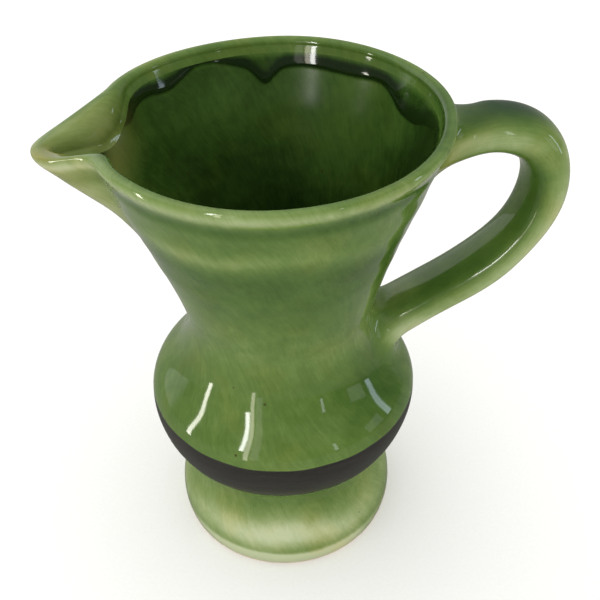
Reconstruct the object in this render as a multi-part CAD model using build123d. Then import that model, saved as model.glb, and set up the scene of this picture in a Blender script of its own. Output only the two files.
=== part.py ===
from build123d import *

import math
import os

# A glazed ceramic pitcher. Units are millimetres. The origin is the centre of the foot's resting plane,
# +Z is up, +X points to the handle and -X to the spout. The XZ plane is the mirror plane.

# Vessel, measured on the glazed outside
RIM_HEIGHT = 200.0
RIM_RADIUS = 63.5
RIM_SLOPE = 0.66
NECK_RADIUS = 37.8
NECK_HEIGHT = 114.0
THROAT_RADIUS = 45.4
SHOULDER_RADIUS = 44.4
SHOULDER_HEIGHT = 92.6
BELLY_RADIUS = 56.4
BELLY_HEIGHT = 71.0
WAIST_RADIUS = 41.6
WAIST_HEIGHT = 36.0
FOOT_RADIUS = 48.8
FOOT_HEIGHT = 8.0
FOOT_EDGE_RADIUS = 47.4
FOOT_EDGE_DIRECTION = (0.9, 0, 0.45)
SIDE_POINTS = 28

# Clay and coats
WALL = 4.4
GLAZE = 0.4
FLOOR_HEIGHT = 8.0
FLOOR_CORNER = 9.0
LOW_TAPER = 0.6
BARE_FOOT = 1.5
GLAZED_LIP_ROUND = 1.8
CLAY_LIP_ROUND = 1.4
INNER_GLAZE_DROP = 5.0

# Matte band
BAND_LOW = 55.2
BAND_HIGH = 75.6

# Spout: its keel in the mirror plane, then its level sections by shares of the neck radius and half width
SPOUT_REACH = 81.6
SPOUT_BOTTOM = 146.0
KEEL_START = 42.5
KEEL_SLOPE = 1.16
KEEL_BOW = 0.24
KEEL_TURN = 14
SPOUT_ROOT_HALF = 22.0
SPOUT_LOW_HALF = 7.0
SPOUT_ROOT_PLACE = 0.94
SPOUT_BACK_PLACE = 0.62
SPOUT_BACK_WIDER = 1.42
FLANK_PLACE = 0.6
FLANK_HALF_LOW = 0.5
FLANK_HALF_GAIN = 0.22
SPOUT_SECTIONS = 6
SPOUT_TIP_DROP = 6.6
SPOUT_TIP_THICKER = 2.0
SPOUT_DIP_START = 57.0
OUTER_CREASE = 8.0
INNER_CREASE = 2.0
VALLEY_RISE = RIM_HEIGHT - SPOUT_BOTTOM - 20.0

# Handle: a strap with an oval section, whose centreline runs over the crest and down to the shoulder
HANDLE_LINE = (
    (46.0, 177.5),
    (62.0, 182.6),
    (79.0, 185.6),
    (96.5, 179.2),
    (103.9, 161.5),
    (97.9, 141.0),
    (82.3, 123.9),
    (62.0, 111.7),
    (32.0, 93.5),
)
HANDLE_LEAVES = (1, 0, 0.32)
HANDLE_LANDS = (-1, 0, -0.6)
STRAP_SECTIONS = 20
STRAP_THICK = 18.0
STRAP_WIDE = 23.0
STRAP_FLARE = 0.36
SLIP = 0.3
UPPER_JOINT = 0.18
LOWER_JOINT = 0.22
END_BLOCK = 44.0

# Helpers: a size larger than the pitcher, how far shapes run on above the rim, and a little play
SPACE = 260.0
TRIM_OVER = 4.0
PLAY = 1.0
UPWARD = 0.7


def outside_curve():
    """The glazed outside from the foot to just above the lip, in the XZ plane."""
    return Spline(
        (FOOT_RADIUS, 0, FOOT_HEIGHT),
        (WAIST_RADIUS, 0, WAIST_HEIGHT),
        (BELLY_RADIUS, 0, BELLY_HEIGHT),
        (SHOULDER_RADIUS, 0, SHOULDER_HEIGHT),
        (NECK_RADIUS, 0, NECK_HEIGHT),
        (THROAT_RADIUS, 0, SPOUT_BOTTOM),
        (RIM_RADIUS, 0, RIM_HEIGHT),
        (RIM_RADIUS + RIM_SLOPE * TRIM_OVER, 0, RIM_HEIGHT + TRIM_OVER),
        tangents=((0, 0, 1), (RIM_SLOPE, 0, 1)),
    )


def inset_points(curve, depth, first):
    """Points on a curve moved towards the axis by depth, from the share first of its length to its end."""
    points = []
    for step in range(SIDE_POINTS + 1):
        share = first + (1 - first) * step / SIDE_POINTS
        place = curve.position_at(share)
        along = curve.tangent_at(share)
        points.append(Vector(place.X - along.Z * depth, 0, place.Z + along.X * depth))
    return points


def turn(edges):
    """A solid of revolution about Z from edges that close a region beside the axis."""
    return revolve(make_face(edges), Axis.Z)


def vessel_outside(inset):
    """The solid inside the vessel's outer surface, moved in by inset, without the spout."""
    points = inset_points(outside_curve(), inset, 0.0)
    side = Spline(*points)
    foot_edge = Vector(FOOT_EDGE_RADIUS - inset, 0, 0)
    foot = Spline(foot_edge, points[0], tangents=(FOOT_EDGE_DIRECTION, (0, 0, 1)))
    top = points[-1]
    edges = foot + side + Polyline(top, (0, 0, top.Z), (0, 0, 0), foot_edge)
    return turn(edges)


def vessel_inside(inset):
    """The hollow inside the vessel, whose side follows the outer surface at inset, without the spout."""
    curve = outside_curve()
    waist_share = curve.param_at_point(Vector(WAIST_RADIUS, 0, WAIST_HEIGHT))
    points = inset_points(curve, inset, waist_share)
    top = points[-1]
    floor = FLOOR_HEIGHT + inset - WALL
    corner_top = points[0]
    low = Vector(corner_top.X - LOW_TAPER, 0, floor + FLOOR_CORNER)
    inner = Vector(low.X - FLOOR_CORNER, 0, floor)
    bend = FLOOR_CORNER * (1 - math.sqrt(0.5))
    corner = ThreePointArc(low, (low.X - bend, 0, floor + bend), inner)
    side = Spline(*points)
    edges = corner + Line(low, corner_top) + side
    edges += Polyline(top, (0, 0, top.Z), (0, 0, floor), inner)
    return turn(edges)


def spout_tip(height):
    """How far the keel of the spout stands from the axis: a rising slope that turns upright at its reach."""
    share = max(0.0, (height - SPOUT_BOTTOM) / (RIM_HEIGHT - SPOUT_BOTTOM))
    slope = KEEL_SLOPE * share + KEEL_BOW * share ** 2
    turned = slope / (1 + slope ** KEEL_TURN) ** (1 / KEEL_TURN)
    return KEEL_START + (SPOUT_REACH - KEEL_START) * turned


def neck_radius(height):
    """The neck's outer radius beside the spout, close to straight over that height."""
    share = (height - SPOUT_BOTTOM) / (RIM_HEIGHT - SPOUT_BOTTOM)
    return THROAT_RADIUS + (RIM_RADIUS - THROAT_RADIUS) * share


def spout_section(height, inset):
    """A level section of the spout's outside moved in by inset, with its back inside the neck."""
    slant = inset * math.sqrt(0.5)
    source = height - slant
    share = max(0.0, (source - SPOUT_BOTTOM) / (RIM_HEIGHT - SPOUT_BOTTOM))
    tip = spout_tip(source) - slant - SPOUT_TIP_THICKER * inset / WALL
    neck = neck_radius(source) - slant
    half = SPOUT_LOW_HALF + (SPOUT_ROOT_HALF - SPOUT_LOW_HALF) * share - inset
    root = neck * SPOUT_ROOT_PLACE
    outline = [
        (-neck * SPOUT_BACK_PLACE, half * SPOUT_BACK_WIDER),
        (-root, half),
        (-root - (tip - root) * FLANK_PLACE, half * (FLANK_HALF_LOW + FLANK_HALF_GAIN * share)),
        (-tip, 0),
    ]
    mirrored = [(x, -y) for x, y in reversed(outline[:-1])]
    flank = Spline([Vector(x, y, height) for x, y in outline + mirrored])
    return Wire([flank, Line(flank @ 1, flank @ 0)])


def spout(inset):
    """The spout's solid moved in by inset, from its root low on the neck to above the rim."""
    low = SPOUT_BOTTOM + inset * math.sqrt(0.5)
    high = RIM_HEIGHT + 2 * TRIM_OVER
    step = (high - low) / SPOUT_SECTIONS
    sections = [spout_section(low + step * i, inset) for i in range(SPOUT_SECTIONS + 1)]
    return Solid.make_loft(sections)


def below_rim(drop):
    """The space under the rim line, lowered by drop. The line dips along the spout."""
    top = RIM_HEIGHT - drop
    dip = top - SPOUT_TIP_DROP
    start = Vector(-SPOUT_DIP_START, 0, top)
    end = Vector(-SPOUT_REACH - PLAY, 0, dip)
    line = Spline(start, end, tangents=((-1, 0, 0), (-1, 0, 0)))
    far_corners = ((-SPACE, 0, dip), (-SPACE, 0, -PLAY), (SPACE, 0, -PLAY), (SPACE, 0, top))
    face = make_face(line + Polyline(end, *far_corners, start))
    return extrude(face, SPACE, both=True)


def slab(low, high):
    """All the space between two heights."""
    return Pos(0, 0, (low + high) / 2) * Box(SPACE, SPACE, high - low)


def creased(solid, radius):
    """Soften the valley where the spout leaves the round neck."""
    valleys = []
    for edge in solid.edges():
        box = edge.bounding_box()
        if box.min.Z > SPOUT_BOTTOM - PLAY and box.size.Z > VALLEY_RISE and box.max.X < 0:
            valleys.append(edge)
    return fillet(valleys, radius)


def filled(inset):
    """The vessel without its hollow, moved in by inset, up to its rim lowered by inset."""
    return creased(vessel_outside(inset) + spout(inset), OUTER_CREASE) & below_rim(inset)


def hollow(inset):
    """The hollow of the vessel and its spout at inset from the glazed outside, open above the rim."""
    return creased(vessel_inside(inset) + spout(inset), INNER_CREASE)


def rounded_lip(shell, drop, radius):
    """Round the border edges of the lip's top."""
    low = RIM_HEIGHT - drop - SPOUT_TIP_DROP - PLAY
    tops = [face for face in shell.faces() if face.bounding_box().min.Z > low and face.normal_at().Z > UPWARD]
    edges = [edge for face in tops for edge in face.edges()]
    border = [edge for edge in edges if sum(edge.is_same(other) for other in edges) == 1]
    return fillet(border, radius)


def handle_path():
    """The centreline of the strap, from inside the neck over the crest to inside the shoulder."""
    points = [Vector(x, 0, z) for x, z in HANDLE_LINE]
    return Spline(*points, tangents=(HANDLE_LEAVES, HANDLE_LANDS))


def strap_section(path, share, grow, inset):
    """An oval section square to the strap's centreline, grown by a factor and moved in by inset."""
    plane = Plane(origin=path.position_at(share), x_dir=(0, 1, 0), z_dir=path.tangent_at(share))
    oval = Ellipse(STRAP_WIDE / 2 * grow - inset, STRAP_THICK / 2 * grow - inset)
    return (plane * oval).wire()


def flare(share):
    """How much the strap and its slip fillets swell at a share of the centreline."""
    upper = max(0.0, 1 - share / UPPER_JOINT)
    lower = max(0.0, 1 - (1 - share) / LOWER_JOINT)
    return 1 + STRAP_FLARE * (upper ** 2 + lower ** 2)


def strap(inset, flared):
    """The strap's solid along its whole centreline, with or without the swell at its ends."""
    path = handle_path()
    sections = []
    for i in range(STRAP_SECTIONS + 1):
        share = i / STRAP_SECTIONS
        grow = flare(share) if flared else 1.0
        sections.append(strap_section(path, share, grow, inset))
    return Solid.make_loft(sections)


def end_block(share, direction):
    """A block of space round one end of the strap, on that end's side of a square cut at share."""
    path = handle_path()
    plane = Plane(origin=path.position_at(share), x_dir=(0, 1, 0), z_dir=path.tangent_at(share))
    return plane * Pos(0, 0, direction * END_BLOCK / 2) * Box(END_BLOCK, END_BLOCK, END_BLOCK)


def inside_coat_region():
    """The space of the liner glaze: the middle of the wall and inwards, from a little under the rim."""
    return hollow(WALL / 2) & below_rim(INNER_GLAZE_DROP)


def largest(shape):
    """The biggest solid of a shape, which drops slivers left by a cut."""
    return shape.solids().sort_by(SortBy.VOLUME)[-1]


def build_nodes():
    """Every piece of the pitcher by node name."""
    clay_core = filled(GLAZE)
    glazed_core = filled(0.0)
    clay = rounded_lip(clay_core - hollow(WALL - GLAZE), GLAZE, CLAY_LIP_ROUND)
    glazed = rounded_lip(glazed_core - hollow(WALL), 0.0, GLAZED_LIP_ROUND)
    coat = glazed - clay
    liner_region = inside_coat_region()
    inner_glaze = coat & liner_region
    clay_strap = strap(GLAZE, True)
    slim_strap = strap(GLAZE + SLIP, False)
    upper_joint = (clay_strap & end_block(UPPER_JOINT, -1)) - slim_strap - clay_core
    lower_joint = (clay_strap & end_block(1 - LOWER_JOINT, 1)) - slim_strap - clay_core
    outer_coat = coat - liner_region - clay_strap
    return {
        "clay_body": clay,
        "handle": clay_strap - upper_joint - lower_joint - clay_core,
        "upper_handle_joint": upper_joint,
        "lower_handle_joint": lower_joint,
        "outer_glaze": outer_coat & slab(BAND_HIGH, SPACE),
        "black_band": outer_coat & slab(BAND_LOW, BAND_HIGH),
        "foot_glaze": outer_coat & slab(BARE_FOOT, BAND_LOW),
        "inner_glaze": inner_glaze,
        "handle_glaze": strap(0.0, True) - clay_strap - glazed_core,
    }


os.makedirs("parts", exist_ok=True)
for name, shape in build_nodes().items():
    export_step(largest(shape), f"parts/{name}.step")
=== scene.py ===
"""A glazed ceramic pitcher: a thrown body with a pulled spout, a strap handle, green glaze and a dark band.

Lengths are in metres, in the CAD frame: +Z up, the handle towards +X and the spout towards -X.
"""

import math

import bmesh
import bpy
import numpy as np
from mathutils import Matrix, Vector


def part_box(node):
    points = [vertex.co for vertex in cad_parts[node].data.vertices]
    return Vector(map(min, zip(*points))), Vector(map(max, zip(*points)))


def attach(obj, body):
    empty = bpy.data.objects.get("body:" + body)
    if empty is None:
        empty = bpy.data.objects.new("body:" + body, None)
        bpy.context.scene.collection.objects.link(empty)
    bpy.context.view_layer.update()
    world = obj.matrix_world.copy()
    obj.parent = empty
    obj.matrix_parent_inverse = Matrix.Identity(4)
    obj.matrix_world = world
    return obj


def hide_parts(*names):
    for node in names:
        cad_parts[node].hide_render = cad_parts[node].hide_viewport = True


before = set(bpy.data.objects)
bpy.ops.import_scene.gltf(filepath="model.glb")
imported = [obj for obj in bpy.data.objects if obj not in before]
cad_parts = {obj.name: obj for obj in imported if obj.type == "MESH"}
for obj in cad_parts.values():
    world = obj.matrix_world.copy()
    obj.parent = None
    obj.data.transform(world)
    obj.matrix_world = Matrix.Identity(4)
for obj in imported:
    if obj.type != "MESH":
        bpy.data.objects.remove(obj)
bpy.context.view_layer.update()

# ---------------------------------------------------------------- sizes in metres, led by the frame
MM = 0.001
TINY = 1e-12
MERGE_DISTANCE = 1e-6

# The plain profile of the outside. The lip's rounding takes LIP_ROUNDING off its top.
LIP_ROUNDING = 0.9 * MM
RIM_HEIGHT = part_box("outer_glaze")[1].z
RIM_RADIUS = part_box("outer_glaze")[1].y + LIP_ROUNDING
BELLY_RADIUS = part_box("black_band")[1].y
NECK_RADIUS = 37.8 * MM
NECK_HEIGHT = 114 * MM
WAIST_RADIUS = 41.5 * MM
FOOT_RADIUS = 49.0 * MM
FOOT_EDGE = FOOT_RADIUS - 1.2 * MM
FOOT_ROUND = 1.0 * MM
HANDLE_SIDE_FULLNESS = 0.5 * MM

# The wall and the inside floor.
RIM_WALL = 3.8 * MM
NECK_WALL = 4.6 * MM
LOW_WALL = 5.2 * MM
FLOOR_TOP = 8 * MM
FLOOR_CORNER = 11 * MM
LOW_INSIDE = 42 * MM

# The coats: how thick they are and where they start and stop.
COAT = 0.45 * MM
DRIP_THICK = 0.45 * MM
BAND_SUNK = 0.16 * MM
BAND_TRIM = 0.9 * MM
BAND_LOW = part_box("black_band")[0].z
BAND_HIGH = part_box("black_band")[1].z
BARE_FOOT = min(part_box("foot_glaze")[0].z, 1.3 * MM)
LINER_START = 5 * MM

# The lip. Its section is a rounded corner: the higher the power, the squarer the corner.
LIP_DEPTH = 2.3 * MM
LIP_POWER = 2.8
LIP_LEAN = 0.8 * MM
LIP_BELOW_TOP = 0.3 * MM

# The pulled spout. Its two flanks spread over different angles from its middle. SPOUT_ANGLE is the half
# angle that the wall and the lip go by, and SPOUT_DIP the reach over which the lip's top dips.
SPOUT_BOTTOM = 143 * MM
SPOUT_DROP = 6.6 * MM
SPOUT_DIP = (RIM_RADIUS - 9 * MM, RIM_RADIUS + 21 * MM)
SPOUT_AZIMUTH = math.radians(178.5)
SPOUT_ANGLE = math.radians(18.7)
SPOUT_NEAR_ANGLE = math.radians(22)
SPOUT_FAR_ANGLE = math.radians(27)
SPOUT_NEAR_POWER = 1.1
SPOUT_FAR_POWER = 0.9
SPOUT_LOW_SHARE = 0.72
SPOUT_EXTRA_WALL = 1.3 * MM
SPOUT_LIP_DEPTH = 3.6 * MM
SPOUT_LIP_POWER = 2.3
SPOUT_LIP_CREST = 0.40
SPOUT_ROLL_DEPTH = 6.5 * MM

# Points round the body, with more of them at the spout, and rows of points over its skin.
AROUND = 480
SPOUT_CROWDING = 0.55
UNDERSIDE_ROWS = 24
FOOT_CORNER_ROWS = 7
BARE_FOOT_ROWS = 3
FOOT_GLAZE_ROWS = 90
BAND_ROWS = 40
NECK_ROWS = 230
OUTER_LIP_ROWS = 18
INNER_LIP_ROWS = 24
LINER_START_ROWS = 6
INSIDE_ROWS = 260
INSIDE_SPACING = 1.5
FLOOR_CORNER_ROWS = 16
FLOOR_ROWS = 22


# ---------------------------------------------------------------- curves
def smooth_curve(knots):
    """A function through (place, value) knots: a natural cubic spline."""
    place, value = np.array(knots, float).T
    gap = np.diff(place)
    rise = np.diff(value) / gap
    last = len(place) - 1
    matrix = np.eye(last + 1)
    right = np.zeros(last + 1)
    for i in range(1, last):
        matrix[i, i - 1:i + 2] = gap[i - 1], 2 * (gap[i - 1] + gap[i]), gap[i]
        right[i] = 6 * (rise[i] - rise[i - 1])
    bend = np.linalg.solve(matrix, right)

    def at(where):
        i = np.clip(np.searchsorted(place, where) - 1, 0, last - 1)
        after = (where - place[i]) / gap[i]
        before = 1 - after
        curve = (before ** 3 - before) * bend[i] + (after ** 3 - after) * bend[i + 1]
        return before * value[i] + after * value[i + 1] + curve * gap[i] ** 2 / 6

    return at


def ease(low, high, value):
    """0 below low, 1 above high and a smooth step between them."""
    share = np.clip((value - low) / (high - low), 0, 1)
    return share * share * (3 - 2 * share)


def hump(centre, width, value):
    """A bell of height 1 round a centre."""
    return np.exp(-((value - centre) / width) ** 2)


def turn_from(angle, centre):
    """The signed angle from a centre, between minus and plus half a turn."""
    return (angle - centre + math.pi) % (2 * math.pi) - math.pi


def facing(angle, degrees, width):
    """A bell of height 1 round a direction given in degrees. Its width is in radians."""
    return hump(0, width, turn_from(angle, math.radians(degrees)))


side = smooth_curve([
    (0, FOOT_EDGE),
    (3.5 * MM, FOOT_RADIUS - 0.35 * MM),
    (9 * MM, FOOT_RADIUS),
    (18 * MM, FOOT_RADIUS - 1.6 * MM),
    (27 * MM, WAIST_RADIUS + 2.0 * MM),
    (36 * MM, WAIST_RADIUS),
    (45 * MM, WAIST_RADIUS + 3.3 * MM),
    (54 * MM, BELLY_RADIUS - 5.0 * MM),
    (63 * MM, BELLY_RADIUS - 1.3 * MM),
    (72 * MM, BELLY_RADIUS - 0.05 * MM),
    (82 * MM, BELLY_RADIUS - 3.0 * MM),
    (91 * MM, NECK_RADIUS + 7.8 * MM),
    (102 * MM, NECK_RADIUS + 1.8 * MM),
    (NECK_HEIGHT, NECK_RADIUS),
    (128 * MM, NECK_RADIUS + 2.5 * MM),
    (146 * MM, NECK_RADIUS + 7.6 * MM),
    (164 * MM, NECK_RADIUS + 13.6 * MM),
    (182 * MM, NECK_RADIUS + 19.6 * MM),
    (RIM_HEIGHT, RIM_RADIUS),
])

spout_rise = smooth_curve([
    (SPOUT_BOTTOM, 0),
    (150 * MM, 0.6 * MM),
    (158 * MM, 2.5 * MM),
    (167 * MM, 6.2 * MM),
    (176 * MM, 12.3 * MM),
    (183 * MM, 17.9 * MM),
    (188 * MM, 20.8 * MM),
    (194 * MM, 20.4 * MM),
    (RIM_HEIGHT, 18.4 * MM),
])


# ---------------------------------------------------------------- the body's skin
def spout_bulge(angle, height):
    """How far the spout stands out from the round neck."""
    share = np.clip((height - SPOUT_BOTTOM) / (RIM_HEIGHT - SPOUT_BOTTOM), 0, 1)
    off = turn_from(angle, SPOUT_AZIMUTH) / (SPOUT_LOW_SHARE + (1 - SPOUT_LOW_SHARE) * share)
    near = np.clip(off / SPOUT_NEAR_ANGLE, 0, 1) ** SPOUT_NEAR_POWER
    far = np.clip(-off / SPOUT_FAR_ANGLE, 0, 1) ** SPOUT_FAR_POWER
    bulge = 0.5 + 0.5 * np.cos(math.pi * (near + far))
    return bulge * spout_rise(np.clip(height, SPOUT_BOTTOM, RIM_HEIGHT))


def body_radius(angle, height):
    """The plain outside radius of the body, neck and spout, a touch fuller on the handle's side."""
    fuller = hump(78 * MM, 16 * MM, height) + hump(128 * MM, 24 * MM, height)
    spout = np.where(height > SPOUT_BOTTOM, spout_bulge(angle, height), 0)
    return side(height) + HANDLE_SIDE_FULLNESS * np.cos(angle) * fuller + spout


def rim_line(angle):
    """The height of the lip's top, which dips along the spout and wanders a little."""
    reach = body_radius(angle, RIM_HEIGHT + 0 * angle) * np.cos(angle - SPOUT_AZIMUTH)
    dip = ease(*SPOUT_DIP, reach)
    wander = 0.25 * MM * np.sin(2 * angle + 0.6) + 0.15 * MM * np.sin(5 * angle + 2.1)
    return RIM_HEIGHT - SPOUT_DROP * dip + wander * (1 - dip) - LIP_BELOW_TOP


def wall_thickness(around, height):
    """The wall's thickness: thick low down, thin at the rim, thicker in the spout and beside its middle."""
    wall = NECK_WALL + (RIM_WALL - NECK_WALL) * ease(NECK_HEIGHT, RIM_HEIGHT, height)
    wall = wall + (LOW_WALL - NECK_WALL) * (1 - ease(45 * MM, 80 * MM, height))
    off = np.abs(turn_from(around, SPOUT_AZIMUTH)) / SPOUT_ANGLE
    rolled = (1 + hump(0.6, 0.35, off)) * (1 - ease(0.8, 1.7, off)) * ease(162 * MM, 192 * MM, height)
    return wall + SPOUT_EXTRA_WALL * rolled


def inner_radius(around, height):
    """The inside radius of whole rings.

    No point of a ring is nearer to the outer skin than the wall, so the inside of a corner stays smooth.
    """
    step = 0.1 * MM
    lean = (body_radius(around, height + step) - body_radius(around, height - step)) / (2 * step)
    level = wall_thickness(around, height) * np.sqrt(1 + lean ** 2)
    radius = body_radius(around, height) + 0 * level
    gap = turn_from(around[:, None], around[None, :])
    aside = radius * np.sin(gap)
    covers = (np.abs(aside) < level) & (np.cos(gap) > 0)
    shell = radius * np.cos(gap) - np.sqrt(np.where(covers, level ** 2 - aside ** 2, 0))
    inner = np.where(covers, shell, np.inf).min(1)
    weights = np.array([1, 2, 3, 4, 3, 2, 1]) / 16
    return sum(weight * np.roll(inner, shift) for weight, shift in zip(weights, range(-3, 4)))


def throwing_marks(angle, height):
    """Faint waves left by the fingers, strongest on the upper neck, with a slow wander round the pot."""
    drift = height + 1.2 * MM * np.sin(angle + 1.0) + 0.6 * MM * np.sin(3 * angle)
    waves = 0.06 * np.sin(drift / (2.1 * MM)) + 0.09 * np.sin(drift / (3.9 * MM) + 1.3)
    upper = ease(135 * MM, 165 * MM, height) * (1 - ease(186 * MM, 194 * MM, height))
    lower = 0.25 * ease(20 * MM, 40 * MM, height)
    slow = 0.22 * np.sin(2 * angle + height / (24 * MM))
    slow = slow + 0.10 * np.sin(3 * angle - height / (17 * MM) + 0.8)
    return (waves * (upper + lower) + slow * ease(5 * MM, 30 * MM, height)) * MM


def outside_point(angle, height):
    """Radius on the glazed outside with the lip's bead, its groove and the throwing marks."""
    below = rim_line(angle) - height
    bead = 0.35 * MM * hump(3.0 * MM, 2.4 * MM, below)
    groove = 0.45 * MM * hump(8.5 * MM, 3.0 * MM, below)
    return body_radius(angle, height) + throwing_marks(angle, height) + bead - groove


# Runs of glaze inside: the direction and half width in degrees, and the length in millimetres.
RUNS = [
    (86, 5, 5.5), (21, 9, 4.5), (10, 6, 2.0), (153, 8, 3.0), (127, 9, 2.5),
    (200, 14, 5.0), (250, 8, 4.0), (292, 11, 6.0), (335, 7, 3.5),
]


def drip_edge(angle):
    """How far below the lip the pooled glaze inside reaches: a ragged line with runs."""
    edge = 9.5 + 1.6 * np.sin(2 * angle + 0.4) + 1.2 * np.sin(5 * angle + 1.1) + 0.9 * np.sin(9 * angle)
    for centre, width, length in RUNS:
        edge = edge + length * facing(angle, centre, math.radians(width))
    return edge * MM


def inside_point(angle, height):
    """Radius on the glazed inside, with the thick pooled glaze under the lip."""
    radius = inner_radius(angle, np.maximum(height, LOW_INSIDE))
    marks = 0.5 * throwing_marks(angle + 2.0, height) * ease(20 * MM, 60 * MM, height)
    marks = marks * (1 - ease(188 * MM, 196 * MM, height))
    below = rim_line(angle) - height
    edge = drip_edge(angle)
    pooled = ease(1.0 * MM, 1.1 * edge, below) * (1 - ease(-2.2 * MM, 1.0 * MM, below - edge))
    return radius - marks - DRIP_THICK * pooled


# ---------------------------------------------------------------- the body as one grid of rows
def steps_between(low, high, count):
    """Evenly spaced values from low to high, without low itself."""
    return [low + (high - low) * share for share in np.linspace(0, 1, count)[1:]]


def outside_rows(around, low, high, count):
    """Rows up the outside from low to high."""
    return [(outside_point(around, height), height) for height in steps_between(low, high, count)]


def foot_rows(around):
    """The flat underside and the foot's rounded edge, up to where the glaze starts."""
    rows = [(radius, 0) for radius in np.linspace(0, FOOT_EDGE - FOOT_ROUND, UNDERSIDE_ROWS)]
    for bend in steps_between(0, math.pi / 2, FOOT_CORNER_ROWS):
        height = FOOT_ROUND * (1 - math.cos(bend))
        rows.append((outside_point(around, height) - FOOT_ROUND * (1 - math.sin(bend)), height))
    return rows + outside_rows(around, FOOT_ROUND, BARE_FOOT, BARE_FOOT_ROWS)


def spout_share(around):
    """1 in the spout, 0 round the rest of the lip."""
    return 1 - ease(0.8 * SPOUT_ANGLE, 2.2 * SPOUT_ANGLE, np.abs(turn_from(around, SPOUT_AZIMUTH)))


def inner_lip_depth(around):
    """How far down inside the lip's rounding goes: deeper in the spout, deepest on its far flank."""
    rolled = SPOUT_ROLL_DEPTH * hump(-0.26, 0.19, turn_from(around, SPOUT_AZIMUTH))
    return LIP_DEPTH + (SPOUT_LIP_DEPTH - LIP_DEPTH) * spout_share(around) + rolled


def lip_rows(around):
    """Over the lip: a tight rounding outside and a softer one inside."""
    top = rim_line(around)
    depth = inner_lip_depth(around)
    in_spout = spout_share(around)
    shoulder = top - LIP_DEPTH
    outer = outside_point(around, shoulder)
    inner = inside_point(around, top - depth)
    crest = outer - (outer - inner) * (0.5 + (SPOUT_LIP_CREST - 0.5) * in_spout) + LIP_LEAN * (1 - in_spout)
    outer_power = 2 / LIP_POWER
    inner_power = 2 / (LIP_POWER + (SPOUT_LIP_POWER - LIP_POWER) * in_spout)
    rows = []
    for bend in steps_between(0, math.pi / 2, OUTER_LIP_ROWS):
        radius = crest + (outer - crest) * math.cos(bend) ** outer_power
        rows.append((radius, shoulder + LIP_DEPTH * math.sin(bend) ** outer_power))
    for bend in steps_between(0, math.pi / 2, INNER_LIP_ROWS):
        radius = crest + (inner - crest) * math.sin(bend) ** inner_power
        rows.append((radius, top - depth + depth * math.cos(bend) ** inner_power))
    return rows


def inside_rows(around, low, high, count, power):
    """Rows inside from low to high. A power above 1 sets them closer together near low."""
    heights = [low + (high - low) * share ** power for share in np.linspace(0, 1, count)[1:]]
    return [(inside_point(around, height), height) for height in heights]


def floor_rows(around):
    """The inside's rounded bottom corner and its flat floor."""
    corner = FLOOR_TOP + FLOOR_CORNER
    wide = inside_point(around, corner + 0 * around)
    rows = []
    for bend in steps_between(0, math.pi / 2, FLOOR_CORNER_ROWS):
        rows.append((wide - FLOOR_CORNER * (1 - math.cos(bend)), corner - FLOOR_CORNER * math.sin(bend)))
    return rows + [((wide - FLOOR_CORNER) * share, FLOOR_TOP) for share in steps_between(1, 0, FLOOR_ROWS)]


def body_grid():
    """Rows of points from under the foot, up the outside, over the lip, down the inside to the floor.

    Also returns the last row of each stretch: bare foot, foot glaze, band, outside glaze and liner.
    """
    even = np.linspace(0, 2 * math.pi, AROUND, endpoint=False)
    around = even + SPOUT_CROWDING * np.sin(even)
    band_low = BAND_LOW - BAND_TRIM + 0.12 * MM * np.sin(7 * around) + 0.1 * MM * np.sin(13 * around + 1)
    band_high = BAND_HIGH + 0.14 * MM * np.sin(5 * around + 2) + 0.12 * MM * np.sin(17 * around)
    top = rim_line(around)
    inner_lip = top - inner_lip_depth(around)
    liner = inner_lip - (LINER_START - LIP_DEPTH)
    neck = outside_rows(around, band_high, top - LIP_DEPTH, NECK_ROWS)
    below_lip = inside_rows(around, inner_lip, liner, LINER_START_ROWS, 1)
    inside = inside_rows(around, liner, FLOOR_TOP + FLOOR_CORNER, INSIDE_ROWS, INSIDE_SPACING)
    stretches = [
        foot_rows(around),
        outside_rows(around, BARE_FOOT, band_low, FOOT_GLAZE_ROWS),
        outside_rows(around, band_low, band_high, BAND_ROWS),
        neck + lip_rows(around) + below_lip,
        inside + floor_rows(around),
    ]
    rows = [row for stretch in stretches for row in stretch]
    radius = np.array([row[0] + 0 * around for row in rows])
    height = np.array([row[1] + 0 * around for row in rows])
    points = np.stack([radius * np.cos(around), radius * np.sin(around), height], -1)
    return around, points, np.cumsum([len(stretch) for stretch in stretches]) - 1


def grid_normals(points):
    """Outward unit normals of a grid of rows that close round the axis."""
    along = np.gradient(points, axis=0)
    across = np.roll(points, -1, 1) - np.roll(points, 1, 1)
    normal = np.cross(across, along)
    length = np.linalg.norm(normal, axis=-1, keepdims=True)
    normal = normal / np.maximum(length, TINY)
    normal[length[..., 0] < TINY] = (0, 0, 1)
    normal[0] = (0, 0, -1)
    return normal


def reach_along(points):
    """The distance along the skin from the first row to each row."""
    steps = np.linalg.norm(np.diff(points, axis=0), axis=-1)
    return np.concatenate([np.zeros((1, points.shape[1])), np.cumsum(steps, 0)])


# ---------------------------------------------------------------- meshes
SHARP_ANGLE = math.radians(48)


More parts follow.
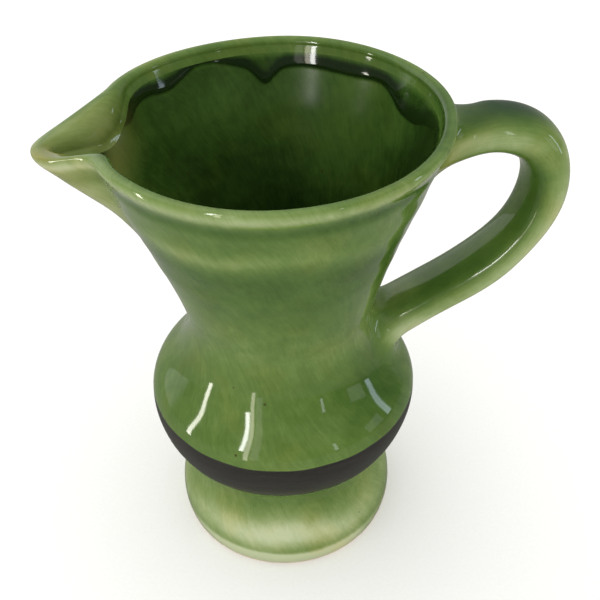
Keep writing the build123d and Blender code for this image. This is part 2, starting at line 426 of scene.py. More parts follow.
def mesh_object(name, points, faces, layers, material):
    """A smooth-shaded mesh from points and faces, with named value and vector layers on its points."""
    mesh = bpy.data.meshes.new(name)
    mesh.from_pydata([tuple(p) for p in points], [], faces)
    for layer, values in layers.items():
        kind, field = ("FLOAT", "value") if values.ndim == 1 else ("FLOAT_VECTOR", "vector")
        slot = mesh.attributes.new(layer, kind, "POINT")
        slot.data.foreach_set(field, np.ascontiguousarray(values, np.float32).ravel())
    edit = bmesh.new()
    edit.from_mesh(mesh)
    bmesh.ops.remove_doubles(edit, verts=edit.verts, dist=MERGE_DISTANCE)
    bmesh.ops.recalc_face_normals(edit, faces=edit.faces)
    edit.to_mesh(mesh)
    edit.free()
    mesh.shade_smooth()
    mesh.set_sharp_from_angle(angle=SHARP_ANGLE)
    mesh.materials.append(material)
    piece = bpy.data.objects.new(name, mesh)
    bpy.context.scene.collection.objects.link(piece)
    return piece


def row_faces(rows, count):
    """The faces between rows of points that close on themselves."""
    faces = []
    for row in range(rows - 1):
        for k in range(count):
            n = (k + 1) % count
            faces.append((row * count + k, row * count + n, (row + 1) * count + n, (row + 1) * count + k))
    return faces


def flat_values(values):
    """A layer over rows of points as one run of values."""
    return values.reshape((-1,) + values.shape[2:])


def closed_coat(name, top, under, layers, material):
    """A closed coat between two grids of rows that close round the axis, with a rim at each end."""
    rows, count = top.shape[:2]
    offset = rows * count
    faces = row_faces(rows, count)
    faces += [(d + offset, c + offset, b + offset, a + offset) for a, b, c, d in faces]
    for start in (0, offset - count):
        for k in range(count):
            n = (k + 1) % count
            faces.append((start + k, start + n, start + n + offset, start + k + offset))
    points = np.concatenate([flat_values(top), flat_values(under)])
    doubled = {key: np.concatenate([flat_values(values)] * 2) for key, values in layers.items()}
    return mesh_object(name, points, faces, doubled, material)


def capped_solid(name, rings, layers, material):
    """A closed solid round a run of rings, with a fan of faces over each open end."""
    rows, count = rings.shape[:2]
    faces = row_faces(rows, count)
    for start, hub in ((0, rows * count), ((rows - 1) * count, rows * count + 1)):
        for k in range(count):
            faces.append((start + k, start + (k + 1) % count, hub))
    points = np.concatenate([flat_values(rings), rings[[0, -1]].mean(1)])
    filled = {key: np.concatenate([flat_values(values), values[[0, -1]].mean(1)])
              for key, values in layers.items()}
    return mesh_object(name, points, faces, filled, material)


# ---------------------------------------------------------------- handle
# The strap's centreline in millimetres: distance from the axis, and height.
HANDLE_LINE = [
    (46.0, 176.2), (62.0, 181.8), (79.0, 185.6), (96.3, 179.4), (103.3, 161.6),
    (97.4, 141.3), (82.0, 124.4), (62.0, 111.9), (32.0, 93.5),
]
HANDLE_WIDE = 22.2 * MM
HANDLE_THICK = 16.7 * MM
HANDLE_TAPER = 0.06
HANDLE_POWER = 2.35
HANDLE_AROUND = 120
HANDLE_RINGS = 300

# How much wider and thinner the strap gets on its lower leg.
LEG_WIDER = 0.14
LEG_THINNER = 0.15

# Each fillet's length along the strap and its spread over the body. The upper one reaches further along
# the strap's outer side, as a web. Where a fillet spreads upwards it stays under the ceiling. The nearer
# its tightness is to 1, the tighter its corner.
UPPER_FILLET = (13 * MM, 12 * MM)
LOWER_FILLET = (12 * MM, 11 * MM)
UPPER_WEB = 9 * MM
FILLET_CEILING = RIM_HEIGHT - 1.8 * MM
FILLET_TIGHTNESS = 0.62
FILLET_SUNK = 0.05 * MM
FILLET_LEAST = 0.5 * MM
FILLET_UPWARDS = 0.15
FILLET_RINGS = 22
HALF_STRAP_RINGS = 130


def handle_frame():
    """Shares of the strap's length, with the centreline's points and outward normals there."""
    knots = np.array(HANDLE_LINE) * MM
    steps = np.concatenate([[0], np.cumsum(np.linalg.norm(np.diff(knots, axis=0), axis=1))])
    along = steps / steps[-1]
    share = np.linspace(0, 1, HANDLE_RINGS)
    across = smooth_curve(list(zip(along, knots[:, 0])))(share)
    up = smooth_curve(list(zip(along, knots[:, 1])))(share)
    line = np.stack([across, 0 * share, up], -1)
    tangent = np.gradient(line, axis=0)
    tangent /= np.linalg.norm(tangent, axis=1, keepdims=True)
    normal = np.stack([-tangent[:, 2], 0 * share, tangent[:, 0]], -1)
    return share, line, normal


def rounded(wave):
    """A sine or cosine pushed out so that the strap's section is a rounded rectangle."""
    return np.sign(wave) * np.abs(wave) ** (2 / HANDLE_POWER)


def strap_rings():
    """The strap's rings before its ends are worked into the body."""
    share, line, normal = handle_frame()
    turn = np.linspace(0, 2 * math.pi, HANDLE_AROUND, endpoint=False)
    cos, sin = np.cos(turn), np.sin(turn)
    swell = 1 - 0.02 * hump(0.18, 0.1, share) + 0.06 * hump(0.97, 0.12, share)
    swell = swell + 0.012 * np.sin(share * 31) * hump(0.5, 0.3, share)
    crown = 1 + 0.05 * np.where(sin > 0, 1, -0.6)
    leg = ease(0.42, 0.64, share)
    half_wide = HANDLE_WIDE / 2 * (swell * (1 + LEG_WIDER * leg))[:, None] * (1 + HANDLE_TAPER * sin)
    half_thick = HANDLE_THICK / 2 * swell * (1 - LEG_THINNER * leg)
    rings = line[:, None] + np.array([0, 1, 0]) * (half_wide * rounded(cos))[..., None]
    rings = rings + normal[:, None] * (half_thick[:, None] * rounded(sin) * crown)[..., None]
    bumps = 0.12 * MM * np.sin(3 * turn + 9 * share[:, None])
    bumps = bumps + 0.1 * MM * np.sin(2 * turn - 23 * share[:, None])
    out = rings - line[:, None]
    out /= np.linalg.norm(out, axis=-1, keepdims=True)
    return turn, rings + out * bumps[..., None]


def depth_in_body(points):
    """How far points lie inside the body's outer surface, measured level."""
    angle = np.arctan2(points[..., 1], points[..., 0])
    return outside_point(angle, points[..., 2]) - np.hypot(points[..., 0], points[..., 1])


def onto_body(points, lift):
    """Points moved level onto the body's outer surface plus lift."""
    angle = np.arctan2(points[..., 1], points[..., 0])
    radius = outside_point(angle, points[..., 2]) + lift
    return np.stack([radius * np.cos(angle), radius * np.sin(angle), points[..., 2]], -1)


def body_normal(points):
    """The body's outward unit normal near points."""
    slopes = []
    for step in 0.2 * MM * np.eye(3):
        slopes.append(depth_in_body(points - step) - depth_in_body(points + step))
    normal = np.stack(slopes, -1)
    return normal / np.linalg.norm(normal, axis=-1, keepdims=True)


def points_at(rings, lengths, places):
    """The point at a given length along each of the lines that run through the rings."""
    found = np.empty((rings.shape[1], 3))
    for i in range(rings.shape[1]):
        for axis in range(3):
            found[i, axis] = np.interp(places[i], lengths[:, i], rings[:, i, axis])
    return found


def meeting_points(rings, lengths):
    """Where each line through the rings enters the body, and its length up to there."""
    depth = depth_in_body(rings)
    first = (depth > 0).argmax(0)
    k = np.arange(rings.shape[1])
    before, after = rings[first - 1, k], rings[first, k]
    out, within = depth[first - 1, k], depth[first, k]
    meet = before + (after - before) * (-out / (within - out))[:, None]
    return meet, lengths[first - 1, k] + np.linalg.norm(meet - before, axis=-1)


def worked_end(rings, sizes):
    """The fillet between the strap and the body, for rings that run from mid-strap into the body.

    Returns the rings' lengths, the length at which the fillet takes over, and the fillet's rings.
    """
    along, outward = sizes
    lengths = reach_along(rings)
    meet, at_meet = meeting_points(rings, lengths)
    start = points_at(rings, lengths, at_meet - along)
    away = meet - meet.mean(0)
    normal = body_normal(meet)
    away -= normal * (away * normal).sum(-1, keepdims=True)
    away /= np.linalg.norm(away, axis=-1, keepdims=True)
    reach = np.full(len(meet), outward)
    rising = away[:, 2] > FILLET_UPWARDS
    room = np.maximum(FILLET_CEILING - meet[rising, 2], FILLET_LEAST)
    reach[rising] = np.minimum(outward, room / away[rising, 2])
    land = onto_body(meet + away * reach[:, None], -FILLET_SUNK)
    first_arm = start + (meet - start) * FILLET_TIGHTNESS
    second_arm = onto_body(land + (meet - land) * FILLET_TIGHTNESS, 0)
    fillet = []
    for share in np.linspace(0, 1, FILLET_RINGS)[1:]:
        rest = 1 - share
        fillet.append(rest ** 3 * start + 3 * rest ** 2 * share * first_arm
                      + 3 * rest * share ** 2 * second_arm + share ** 3 * land)
    return lengths, at_meet - along, np.array(fillet)


def worked_half(rings, sizes):
    """Half of the strap, from its middle to where its fillet starts, and that fillet."""
    lengths, stop, fillet = worked_end(rings, sizes)
    shares = np.linspace(0, 1, HALF_STRAP_RINGS)
    return np.array([points_at(rings, lengths, stop * share) for share in shares]), fillet


def handle_grid():
    """The strap with both ends worked into the body: one grid of rings from the neck to the shoulder.

    Also returns the number of rings in the upper fillet and the ring at which the lower one starts.
    """
    turn, rings = strap_rings()
    middle = HANDLE_RINGS // 2
    longer = UPPER_FILLET[0] + UPPER_WEB * np.maximum(np.sin(turn), 0)
    upper_strap, upper_fillet = worked_half(rings[middle::-1], (longer, UPPER_FILLET[1]))
    lower_strap, lower_fillet = worked_half(rings[middle:], LOWER_FILLET)
    grid = np.concatenate([upper_fillet[::-1], upper_strap[::-1], lower_strap[1:], lower_fillet])
    return turn, grid, len(upper_fillet), len(grid) - len(lower_fillet)


# ---------------------------------------------------------------- materials
class Nodes:
    """A short way to build a material's node tree."""

    def __init__(self, name):
        self.material = bpy.data.materials.new(name)
        self.material.use_nodes = True
        self.tree = self.material.node_tree
        self.shader = self.tree.nodes["Principled BSDF"]
        self.place = self.add("ShaderNodeTexCoord").outputs["Object"]

    def add(self, kind, inputs=None, **settings):
        node = self.tree.nodes.new(kind)
        for key, value in settings.items():
            setattr(node, key, value)
        for key, value in (inputs or {}).items():
            self.feed(node.inputs[key], value)
        return node

    def feed(self, socket, value):
        if isinstance(value, bpy.types.NodeSocket):
            self.tree.links.new(value, socket)
        else:
            socket.default_value = value

    def shade(self, inputs):
        """Feeds the shader and returns the finished material."""
        for key, value in inputs.items():
            self.feed(self.shader.inputs[key], value)
        return self.material

    def math(self, operation, *values):
        node = self.add("ShaderNodeMath", operation=operation)
        for socket, value in zip(node.inputs, values):
            self.feed(socket, value)
        return node.outputs[0]

    def line(self, value, times, plus):
        """The value times one number plus another."""
        return self.math("MULTIPLY_ADD", value, times, plus)

    def vary(self, value, pattern, amount):
        """The value moved up and down by a pattern that lies round a half."""
        return self.line(self.math("SUBTRACT", pattern, 0.5), amount, value)

    def attribute(self, name, output="Fac"):
        return self.add("ShaderNodeAttribute", attribute_name=name).outputs[output]

    def noise(self, vector, scale, detail, rough=0.5):
        inputs = {"Vector": vector, "Scale": scale, "Detail": detail, "Roughness": rough}
        return self.add("ShaderNodeTexNoise", inputs).outputs["Fac"]

    def brushed(self, vector, scale, detail, rough):
        """Noise drawn out by a different scale along each axis."""
        stretched = self.add("ShaderNodeMapping", {"Vector": vector, "Scale": scale}).outputs[0]
        return self.noise(stretched, 1.0, detail, rough)

    def vector_math(self, operation, inputs):
        return self.add("ShaderNodeVectorMath", inputs, operation=operation)

    def shifted(self, vector, scale, reach):
        """The vector moved by a slow random drift of reach at most, to bend the patterns that use it."""
        drift = self.add("ShaderNodeTexNoise", {"Vector": self.place, "Scale": scale, "Detail": 1.0})
        centred = self.vector_math("SUBTRACT", {0: drift.outputs["Color"], 1: (0.5, 0.5, 0.5)}).outputs[0]
        move = self.vector_math("SCALE", {0: centred, "Scale": 2 * reach}).outputs[0]
        return self.vector_math("ADD", {0: vector, 1: move}).outputs[0]

    def ramp(self, value, stops):
        node = self.add("ShaderNodeValToRGB", {"Fac": value})
        ramp = node.color_ramp
        ramp.interpolation = "B_SPLINE" if len(stops) > 3 else "EASE"
        while len(ramp.elements) < len(stops):
            ramp.elements.new(0.5)
        for element, (place, colour) in zip(ramp.elements, stops):
            element.position = place
            element.color = (*colour, 1)
        return node.outputs["Color"]

    def blend(self, factor, first, second, mode="MIX"):
        """Two colours mixed. Sockets 6 and 7 of a mix node are its two colours."""
        node = self.add("ShaderNodeMix", {0: factor, 6: first, 7: second}, data_type="RGBA", blend_type=mode)
        return node.outputs[2]

    def bump(self, height, strength, distance):
        inputs = {"Height": height, "Strength": strength, "Distance": distance}
        return self.add("ShaderNodeBump", inputs).outputs[0]


def linear(red, green, blue):
    """A colour given as 0 to 255 screen values, in linear light."""
    shares = [value / 255 for value in (red, green, blue)]
    return tuple(s / 12.92 if s < 0.04045 else ((s + 0.055) / 1.055) ** 2.4 for s in shares)


# The glaze's colour from thin and pale to deep and dark.
GREEN_STOPS = [
    (0.0, linear(188, 196, 160)),
    (0.20, linear(140, 156, 102)),
    (0.38, linear(104, 127, 66)),
    (0.52, linear(80, 106, 46)),
    (0.68, linear(56, 85, 31)),
    (0.84, linear(33, 56, 17)),
    (1.0, linear(15, 30, 8)),
]
TEAL = (*linear(40, 58, 42), 1)
BROWN = (*linear(150, 132, 70), 1)
SPECK = (*linear(58, 44, 22), 1)
WARMTH = (1.10, 0.98, 0.84, 1)
BAND_STOPS = [(0.3, linear(20, 19, 17)), (0.75, linear(45, 41, 36))]
BAND_EDGE = (*linear(40, 34, 14), 1)
CLAY_STOPS = [(0.3, linear(186, 160, 128)), (0.7, linear(222, 203, 172))]
GLAZE_IOR = 1.48
BAND_IOR = 1.5
CLAY_ROUGHNESS = 0.85


def glaze_colour(n, depth):
    """Green by depth, warmer in slow patches, then tinted by the layers and dotted with a few specks."""
    colour = n.ramp(depth, GREEN_STOPS)
    patches = n.ramp(n.noise(n.place, 55.0, 2.0), [(0.45, (0, 0, 0)), (0.75, (1, 1, 1))])
    warm = n.blend(1.0, colour, WARMTH, "MULTIPLY")
    colour = n.blend(n.math("MULTIPLY", patches, 0.8), colour, warm)
    colour = n.blend(n.attribute("teal"), colour, TEAL)
    colour = n.blend(n.attribute("brown"), colour, BROWN)
    cells = n.add("ShaderNodeTexVoronoi", {"Vector": n.place, "Scale": 95.0, "Randomness": 1.0})
    dot = n.math("LESS_THAN", cells.outputs["Distance"], 0.055)
    dot = n.math("MULTIPLY", dot, n.math("GREATER_THAN", n.noise(n.place, 70.0, 1.0), 0.56))
    return n.blend(n.math("MULTIPLY", dot, 0.75), colour, SPECK)


def green_glaze(name, darker=0.0):
    """Brushed, mottled green glass over pale clay: pale where thin, deep where it pools."""
    n = Nodes(name)
    cloud = n.noise(n.place, 34.0, 3.0, 0.55)
    mottle = n.noise(n.place, 170.0, 4.0, 0.6)
    swirl = n.shifted(n.attribute("wrap", "Vector"), 45.0, 4 * MM)
    streak = n.brushed(swirl, (420, 420, 60), 4.0, 0.65)
    fine = n.brushed(swirl, (1500, 1500, 260), 3.0, 0.6)
    depth = n.line(n.attribute("pool"), 0.5, 0.5 + darker)
    for pattern, amount in ((cloud, 0.30), (mottle, 0.16), (streak, 0.15), (fine, 0.12)):
        depth = n.vary(depth, pattern, amount)
    dull = n.math("MAXIMUM", n.attribute("dull"), 0.0)
    shine = n.line(dull, -0.32, n.line(n.attribute("teal"), -0.4, 0.5))
    ripple = n.line(streak, 0.12, n.noise(n.place, 260.0, 2.0))
    height = n.line(n.noise(n.place, 1500.0, 2.0), 0.03, ripple)
    return n.shade({
        "Base Color": glaze_colour(n, depth),
        "Roughness": n.line(dull, 0.16, n.line(mottle, 0.05, 0.04)),
        "Specular IOR Level": shine,
        "IOR": GLAZE_IOR,
        "Normal": n.bump(height, 0.022, 0.5 * MM),
    })


def matte_band(name):
    """Warm black coat with a soft sheen, brushed on round the pot."""
    n = Nodes(name)
    brushed = n.brushed(n.attribute("wrap", "Vector"), (90, 90, 900), 3.0, 0.6)
    grain = n.noise(n.place, 900.0, 3.0, 0.6)
    colour = n.ramp(n.line(brushed, 0.6, n.math("MULTIPLY", grain, 0.4)), BAND_STOPS)
    return n.shade({
        "Base Color": n.blend(n.math("MULTIPLY", n.attribute("pool"), 0.5), colour, BAND_EDGE),
        "Roughness": n.line(grain, 0.12, 0.36),
        "IOR": BAND_IOR,
        "Normal": n.bump(grain, 0.18, 0.3 * MM),
    })


def fired_clay(name):
    """Unglazed pale earthenware with turning lines and grog."""
    n = Nodes(name)
    reach = n.vector_math("LENGTH", {0: n.place}).outputs["Value"]
    rings = n.math("SINE", n.math("MULTIPLY", reach, 5200.0))
    grog = n.noise(n.place, 1400.0, 4.0, 0.65)
    cloud = n.noise(n.place, 60.0, 3.0)
    return n.shade({
        "Base Color": n.ramp(n.line(grog, 0.5, n.math("MULTIPLY", cloud, 0.5)), CLAY_STOPS),
        "Roughness": CLAY_ROUGHNESS,
        "Normal": n.bump(n.line(rings, 0.2, grog), 0.35, 0.4 * MM),
    })


# ---------------------------------------------------------------- colour layers
# "pool" is the glaze's depth, 0 for plain, below 0 for thin and above 0 for deep. "brown" and "teal"
# tint it, "dull" takes its shine away, and "wrap" carries the brush marks round the pot.
BRUSH_SLANT = 9.0
BRUSH_RADIUS = 50 * MM
LIP_TINTS_ABOVE = 150 * MM

# Rings of deeper or thinner glaze, two of them partly painted light or shade. Each has its depth, its place
# and its half width.
# The ring 9.5 mm under the lip is deep glaze in the lip's groove, plus painted shade there.
RINGS_BELOW_LIP = [(0.28, 9.5 * MM, 2.6 * MM), (0.14, 36 * MM, 6 * MM)]
# The pale ring at 118 mm is painted light, not thinner glaze: it lightens the shaded, hollow waist of the
# neck.
RINGS_BY_HEIGHT = [(0.20, 154 * MM, 16 * MM), (-0.10, 118 * MM, 14 * MM)]

# Stripes along the strap's lower leg: depth, side of the strap in degrees, half width in radians.
LEG_STRIPES = [(0.28, 236, 0.50), (0.28, 304, 0.50), (-0.58, 160, 0.60), (-0.60, 30, 0.50)]

# Patches on the strap: depth, share of its length, half width, side in degrees, half width in radians.
STRAP_PATCHES = [
    (-0.50, 0.24, 0.09, 190, 0.50),
    # The pale patch on the strap's outer bend is thin glaze plus a painted reflection of the pale floor.
    (-0.55, 0.38, 0.14, 110, 0.60),
    (0.30, 0.36, 0.12, 215, 0.45),
    (0.45, 0.15, 0.085, 72, 0.85),
    (-0.55, 0.11, 0.10, 168, 0.50),
]


def glaze_layers(angle, reach, pool, brown, teal=0.0, dull=0.0):
    """All the layers of a glazed piece, with brush marks that slant round it and show no seam."""
    slanted = angle + BRUSH_SLANT * reach
    wrap = np.stack([BRUSH_RADIUS * np.cos(slanted), BRUSH_RADIUS * np.sin(slanted), reach], -1)
    plain = 0 * pool
    return {"wrap": wrap, "pool": pool, "brown": brown + plain, "teal": teal + plain, "dull": dull + plain}


def lip_glaze(angle, below, inward):
    """Thin over the lip, deep in the lip's groove (partly painted shade) and by the handle, with a painted
    highlight in a ring on the neck's front.
    """
    pool = sum(depth * hump(centre, width, below) for depth, centre, width in RINGS_BELOW_LIP)
    pool = pool - 0.58 * hump(3.2 * MM, 3.0 * MM, below) * (1 - ease(1.8 * MM, 3.8 * MM, inward))
    # A painted highlight: a pale ring on the front of the neck only, on the side towards the bright panes.
    painted_highlight_ring = hump(24 * MM + 1.5 * MM * np.sin(5 * angle), 4.5 * MM, below)
    pool = pool - 0.34 * facing(angle, -115, 0.75) * painted_highlight_ring
    return pool + 0.30 * facing(angle, -15, 0.55) * (1 - ease(1 * MM, 6 * MM, below))


def side_glaze(angle, height):
    """Slow rings up the neck, a deep patch on the shoulder beside the handle, and a pale ring and pale
    bottom edge on the foot: thin glaze with painted reflections, strongest on the front.
    """
    wander = 1.3 * MM * np.sin(3 * angle + 0.7) + 0.8 * MM * np.sin(7 * angle)
    # Thin glaze and painted reflection on the foot: the pale ring on its flare stands in for the bright room
    # above mirrored there, and the pale bottom edge for the pale floor. Both are strongest on the front that
    # faces the camera.
    thin = 0.22 + 0.58 * facing(angle, -100, 0.75) + 0.06 * np.sin(5 * angle)
    pool = sum(depth * hump(centre, width, height) for depth, centre, width in RINGS_BY_HEIGHT)
    pool = pool - 0.20 * (1 - ease(26 * MM, 40 * MM, height))
    pool = pool - thin * hump(18.5 * MM + wander, 7.2 * MM, height)
    pool = pool - 1.4 * thin * (1 - ease(6.5 * MM, 10.5 * MM, height))
    return pool + 0.38 * facing(angle, -38, 0.40) * hump(88 * MM, 15 * MM, height)


def body_tints(angle, points):
    """How deep the green glaze lies at points on the outside, and how brown it is."""
    height = points[..., 2]
    below = rim_line(angle) - height
    inward = body_radius(angle, RIM_HEIGHT + 0 * height) - np.hypot(points[..., 0], points[..., 1])
    from_tip = turn_from(angle, SPOUT_AZIMUTH)
    high = height > LIP_TINTS_ABOVE
    flank = hump(0.17, 0.16, from_tip) * ease(150 * MM, 172 * MM, height) * ease(2 * MM, 5 * MM, below)
    far_roll = hump(-0.20, 0.20, from_tip) * ease(2 * MM, 6 * MM, inward) * high
    inner_lip = ease(2.4 * MM, 4.8 * MM, inward) * (1 - ease(4 * MM, 8 * MM, below)) * high
    pool = lip_glaze(angle, below, inward) + side_glaze(angle, height)
    pool = pool - 0.50 * flank - 0.40 * far_roll + 0.06 * inner_lip
    brown = 0.45 * hump(0.10, 0.10, from_tip) * hump(0.8 * MM, 1.6 * MM, below)
    return pool, brown + 0.22 * flank + 0.15 * far_roll


def outside_layers(around, points):
    """The layers over the body's outside."""
    return glaze_layers(around, reach_along(points), *body_tints(around + 0 * points[..., 2], points))


def inside_layers(around, points):
    """The layers inside: a pooled band with runs under the lip, thinner glaze below it, then darker and
    darker towards the floor.

    The spout's inside is thin, apart from a dark trough that leads to its tip.
    """
    height = points[..., 2]
    below = rim_line(around) - height
    past_edge = below - drip_edge(around)
    from_tip = turn_from(around, SPOUT_AZIMUTH) + 0 * height
    from_spout = np.abs(from_tip)
    band = ease(1.5 * MM, 5 * MM, below) * (1 - ease(-1.5 * MM, 0.8 * MM, past_edge))
    band = band * ease(math.radians(14), math.radians(27), from_spout)
    trough = 2.4 * hump(-0.06, 0.10, from_tip) * hump(9 * MM, 5 * MM, below)
    uneven = 0.30 * hump(0, 0.30, turn_from(around, -0.1)) - 0.22 * hump(0, 0.4, turn_from(around, 0.85))
    pool = band * (0.18 + 0.80 * ease(-7 * MM, -0.5 * MM, past_edge))
    # Darker and darker from just under the lip down towards the floor.
    pool = pool + 0.25 + 0.55 * (1 - ease(60 * MM, 185 * MM, height))
    pool = pool + uneven * ease(130 * MM, 165 * MM, height) * (1 - band)
    pool = pool - 0.50 * (1 - ease(4.5 * MM, 8 * MM, below)) + 0.5 * trough
    pool = pool - 0.40 * hump(0, 0.30, from_spout) * (1 - ease(20 * MM, 34 * MM, below))
    brown = 0.26 * hump(0.12, 0.26, from_spout) * (1 - ease(14 * MM, 30 * MM, below)) * (1 - 0.8 * trough)
    dull = 1 - ease(0.1, 0.9, band) - ease(-4 * MM, -1 * MM, -below)
    return glaze_layers(around, reach_along(points), pool, brown, dull=dull)


def handle_layers(turn, grid):
    """The layers on the strap, which take on the body's glaze where the fillets run out."""
    reach = reach_along(grid)
    share = reach / reach[-1]
    leg = ease(0.30, 0.48, share) * (1 - ease(0.90, 0.97, share))
    pool = sum(depth * leg * facing(turn, degrees, width) for depth, degrees, width in LEG_STRIPES)
    for depth, centre, width, degrees, spread in STRAP_PATCHES:
        pool = pool + depth * hump(centre, width, share) * facing(turn, degrees, spread)
    pool = pool + 0.22 * (1 - ease(0.03, 0.12, share))
    pool = pool - 0.22 * ease(0.80, 0.86, share) * (1 - ease(0.90, 0.96, share))
    teal = 0.95 * hump(0.155, 0.10, share) * facing(turn, 78, 0.92)
    brown = 0.30 * hump(0.09, 0.05, share) * facing(turn, 215, 0.8)
    on_body = 1 - ease(0.0, 0.07, share) * (1 - ease(0.92, 1.0, share))
    body_pool, body_brown = body_tints(np.arctan2(grid[..., 1], grid[..., 0]), grid)
    pool = pool + (body_pool - pool) * on_body
    brown = brown + (body_brown - brown) * on_body
    return glaze_layers(turn, reach, pool, brown, teal=teal)


# ---------------------------------------------------------------- build the pitcher
GLAZE_OUT = green_glaze("green_glaze_outside")
GLAZE_IN = green_glaze("green_glaze_liner", darker=0.12)
GLAZE_HANDLE = green_glaze("green_glaze_handle")
BAND = matte_band("matte_black_coat")
CLAY = fired_clay("fired_clay")


def cut(layers, low, high):
    """The rows of every layer from low up to, but not with, high."""
    return {key: values[low:high] for key, values in layers.items()}


def build_body():
    """The clay vessel and its four coats."""
    around, grid, (foot, band, outer, liner, end) = body_grid()
    normal = grid_normals(grid)
    rows = np.arange(len(grid))[:, None, None]
    under = grid - normal * COAT * ease(foot - 1, foot + 1, rows)
    shown = np.where((rows > band) & (rows < outer), grid - normal * BAND_SUNK, grid)
    outside = outside_layers(around, grid)
    inside = inside_layers(around, grid)

    def coat(name, low, high, layers, material):
        return closed_coat(name, shown[low:high], under[low:high], cut(layers, low, high), material)

    return {
        "glaze_foot": coat("glaze_foot", foot, band + 1, outside, GLAZE_OUT),
        "coat_band": coat("coat_band", band, outer + 1, outside, BAND),
        "glaze_outside": coat("glaze_outside", outer, liner + 1, outside, GLAZE_OUT),
        "glaze_liner": coat("glaze_liner", liner, end, inside, GLAZE_IN),
        "clay_vessel": capped_solid("clay_vessel", under, {"wrap": outside["wrap"]}, CLAY),
    }


def build_handle():
    """The clay strap, its two worked joints and their glaze."""
    turn, grid, upper_end, lower_start = handle_grid()
    along = np.gradient(grid, axis=0)
    across = np.roll(grid, -1, 1) - np.roll(grid, 1, 1)
    normal = np.cross(along, across)
    normal /= np.maximum(np.linalg.norm(normal, axis=-1, keepdims=True), TINY)
    outward = np.sign((normal * (grid - grid.mean(1, keepdims=True))).sum(-1).mean())
    under = grid - normal * outward * COAT
    layers = handle_layers(turn, grid)

    def clay(name, low, high):
        return capped_solid(name, under[low:high], cut({"wrap": layers["wrap"]}, low, high), CLAY)

    return {
        "glaze_handle": closed_coat("glaze_handle", grid, under, layers, GLAZE_HANDLE),
        "clay_joint_upper": clay("clay_joint_upper", 0, upper_end),
        "clay_strap": clay("clay_strap", upper_end - 1, lower_start),
        "clay_joint_lower": clay("clay_joint_lower", lower_start - 1, len(grid)),
    }


# Each piece with the CAD node it stands for and its material slot.
STANDS_FOR = {
    "clay_vessel": ("clay_body", "fired_clay"),
    "glaze_outside": ("outer_glaze", "green_glaze"),
    "glaze_foot": ("foot_glaze", "foot_glaze"),
    "glaze_liner": ("inner_glaze", "liner_glaze"),
    "coat_band": ("black_band", "matte_black_coat"),
    "glaze_handle": ("handle_glaze", "green_glaze"),
    "clay_strap": ("handle", "fired_clay"),
    "clay_joint_upper": ("upper_handle_joint", "fired_slip"),
    "clay_joint_lower": ("lower_handle_joint", "fired_slip"),
}
pieces = {**build_body(), **build_handle()}
for name, (node, slot) in STANDS_FOR.items():
    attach(pieces[name], "root")
    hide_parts(node)


# ---------------------------------------------------------------- floor, light and camera
FLOOR_RADIUS = 2.2
FLOOR_STOPS = [(0.3, (0.90, 0.90, 0.90)), (0.7, (0.92, 0.92, 0.92))]
# The floor's colour in the glaze's reflections: painted shade.
FLOOR_SHADE_IN_REFLECTIONS = (0.30, 0.30, 0.28, 1)

# The room's diffuse light, and the brightness of the backdrop that the camera sees.
ROOM_LIGHT = 1.32
BACKDROP = 0.93
ROOM_COLOUR = (1.0, 0.995, 0.97, 1)

# The camera: angles in degrees, lens and sensor in millimetres, places in rim heights and its shift in
# frame widths.
CAMERA_AZIMUTH = -7.6
CAMERA_ELEVATION = 40.32
CAMERA_ROLL = -1.24
CAMERA_LENS = 50.99
CAMERA_SENSOR = 36
CAMERA_TARGET = (0.0465, -0.0062, 0.574)
CAMERA_DISTANCE = 1.7225
CAMERA_SHIFT = (-0.00317, -0.00067)

# Bright panes round the pitcher. Each has its azimuth and width in degrees, the elevations of its
# ends in degrees, its radiance and its colour.
PANE_DISTANCE = 0.6
PANES = {
    "window_near_left": (-39.3, 3.6, (12, 40), 22, (1.0, 0.99, 0.96)),
    "window_near_left_frame": (-35.2, 3.4, (-20, 40), 7, (1.0, 0.93, 0.76)),
    "window_near_left_wall": (-29, 6, (-5, 40), 1.2, (1.0, 0.97, 0.86)),
    "window_left": (-81, 3.6, (-20, 22), 17, (1.0, 0.96, 0.86)),
    "window_right": (30, 2.4, (2, 18), 4, (0.95, 0.97, 1.0)),
    "window_far_right": (79, 5, (0, 20), 4.5, (0.72, 0.86, 1.0)),
    "window_far_right_wall": (64, 15, (0, 16), 0.8, (0.9, 0.95, 1.0)),
}


def floor_material():
    """Plain pale paper with the faintest grain, and painted shade where the glaze mirrors it: only in
    reflections is the floor darkened, to stand in for a floor in shadow.
    """
    n = Nodes("pale_floor")
    paper = n.ramp(n.noise(n.place, 700.0, 2.0), FLOOR_STOPS)
    # Painted shade: in the glaze's reflections the floor is darker than it is to the camera.
    mirrored = n.add("ShaderNodeLightPath").outputs["Is Glossy Ray"]
    colour = n.blend(mirrored, paper, FLOOR_SHADE_IN_REFLECTIONS)
    return n.shade({"Base Color": colour, "Roughness": 0.9, "Specular IOR Level": 0.1})


def build_floor():
    """A wide, round, flat floor."""
    edit = bmesh.new()
    bmesh.ops.create_circle(edit, cap_ends=True, cap_tris=False, segments=96, radius=FLOOR_RADIUS)
    mesh = bpy.data.meshes.new("floor")
    edit.to_mesh(mesh)
    edit.free()
    mesh.materials.append(floor_material())
    floor = bpy.data.objects.new("floor", mesh)
    bpy.context.scene.collection.objects.link(floor)


def towards(azimuth, elevation):
    """The unit direction of a view azimuth (0 is the -Y side) and elevation, in degrees."""
    a, e = math.radians(azimuth), math.radians(elevation)
    return Vector((math.sin(a) * math.cos(e), -math.cos(a) * math.cos(e), math.sin(e)))


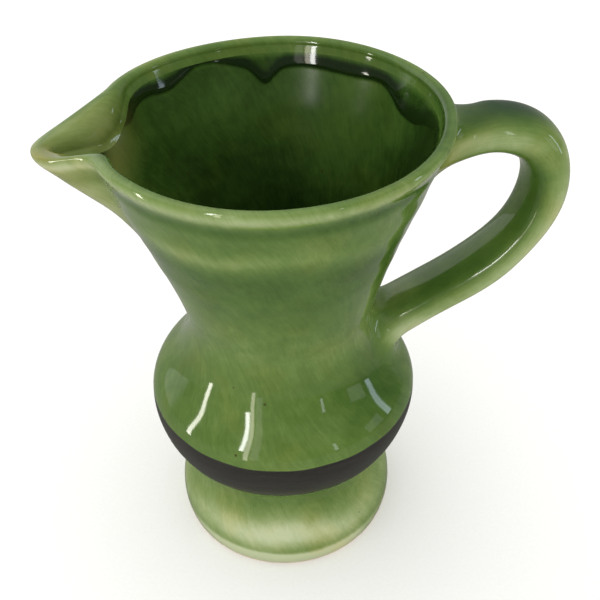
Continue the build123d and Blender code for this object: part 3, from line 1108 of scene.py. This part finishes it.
def build_pane(name, azimuth, wide, elevations, radiance, colour):
    """A bright pane off to one side that faces the pitcher and shows only in its glaze."""
    middle = RIM_HEIGHT / 2
    low, high = (max(0.0, middle + PANE_DISTANCE * math.tan(math.radians(e))) for e in elevations)
    light = bpy.data.lights.new(name, "AREA")
    light.shape = "RECTANGLE"
    light.size = 2 * PANE_DISTANCE * math.tan(math.radians(wide / 2))
    light.size_y = high - low
    light.energy = radiance * math.pi * light.size * light.size_y
    light.color = colour
    lamp = bpy.data.objects.new(name, light)
    direction = towards(azimuth, 0)
    lamp.location = direction * PANE_DISTANCE + Vector((0, 0, (low + high) / 2))
    lamp.rotation_euler = direction.to_track_quat("Z", "Y").to_euler()
    lamp.visible_diffuse = False
    lamp.visible_camera = False
    bpy.context.scene.collection.objects.link(lamp)


def build_world():
    """A soft pale room.

    Its diffuse light comes from all round, a little more from the spout's side. The room that the glaze
    mirrors is bright behind the pitcher and dim behind the camera. The camera sees a plain backdrop.
    """
    world = bpy.data.worlds.new("soft_room")
    bpy.context.scene.world = world
    world.use_nodes = True
    world.cycles.sampling_method = "NONE"
    tree = world.node_tree
    split = tree.nodes.new("ShaderNodeSeparateXYZ")
    tree.links.new(tree.nodes.new("ShaderNodeTexCoord").outputs["Generated"], split.inputs[0])
    rays = tree.nodes.new("ShaderNodeLightPath").outputs

    def slope(axis, ends, values):
        """A value that changes evenly along an axis between two ends."""
        node = tree.nodes.new("ShaderNodeMapRange")
        tree.links.new(split.outputs[axis], node.inputs["Value"])
        for socket, value in zip(("From Min", "From Max", "To Min", "To Max"), (*ends, *values)):
            node.inputs[socket].default_value = value
        return node.outputs[0]

    def join(operation, first, second):
        node = tree.nodes.new("ShaderNodeMath")
        node.operation = operation
        tree.links.new(first, node.inputs[0])
        tree.links.new(second, node.inputs[1])
        return node.outputs[0]

    def pick(ray, otherwise, chosen):
        """The chosen value for one kind of ray. Inputs 2 and 3 of a mix node are its two values."""
        node = tree.nodes.new("ShaderNodeMix")
        tree.links.new(rays[ray], node.inputs[0])
        tree.links.new(otherwise, node.inputs[2])
        if isinstance(chosen, float):
            node.inputs[3].default_value = chosen
        else:
            tree.links.new(chosen, node.inputs[3])
        return node.outputs[0]

    behind = join("MULTIPLY", slope("Y", (0.24, 0.34), (0.20, 1.0)), slope("X", (-0.25, 0.05), (1.0, 0.40)))
    ceiling = slope("Z", (0.35, 0.95), (0.0, 0.30))
    room = join("ADD", ceiling, slope("Y", (-1, 0.2), (0.05, 0.15)))
    lit = slope("X", (-1, 1), (ROOM_LIGHT * 1.15, ROOM_LIGHT * 0.80))
    strength = pick("Is Diffuse Ray", join("MAXIMUM", behind, room), lit)
    back = tree.nodes["Background"]
    tree.links.new(pick("Is Camera Ray", strength, BACKDROP), back.inputs["Strength"])
    back.inputs["Color"].default_value = ROOM_COLOUR


def build_camera():
    """A camera that looks down at the pitcher, a little from its spout's side."""
    data = bpy.data.cameras.new("camera")
    data.sensor_width = CAMERA_SENSOR
    data.lens = CAMERA_LENS
    data.clip_start = 10 * MM
    data.shift_x, data.shift_y = CAMERA_SHIFT
    camera = bpy.data.objects.new("camera", data)
    bpy.context.scene.collection.objects.link(camera)
    direction = towards(CAMERA_AZIMUTH, CAMERA_ELEVATION)
    place = (Vector(CAMERA_TARGET) + direction * CAMERA_DISTANCE) * RIM_HEIGHT
    turn = direction.to_track_quat("Z", "Y").to_matrix().to_4x4()
    roll = Matrix.Rotation(math.radians(CAMERA_ROLL), 4, "Z")
    camera.matrix_world = Matrix.Translation(place) @ turn @ roll
    bpy.context.scene.camera = camera


build_floor()
build_world()
build_camera()
for name, settings in PANES.items():
    build_pane(name, *settings)
bpy.context.scene.view_settings.view_transform = "Standard"
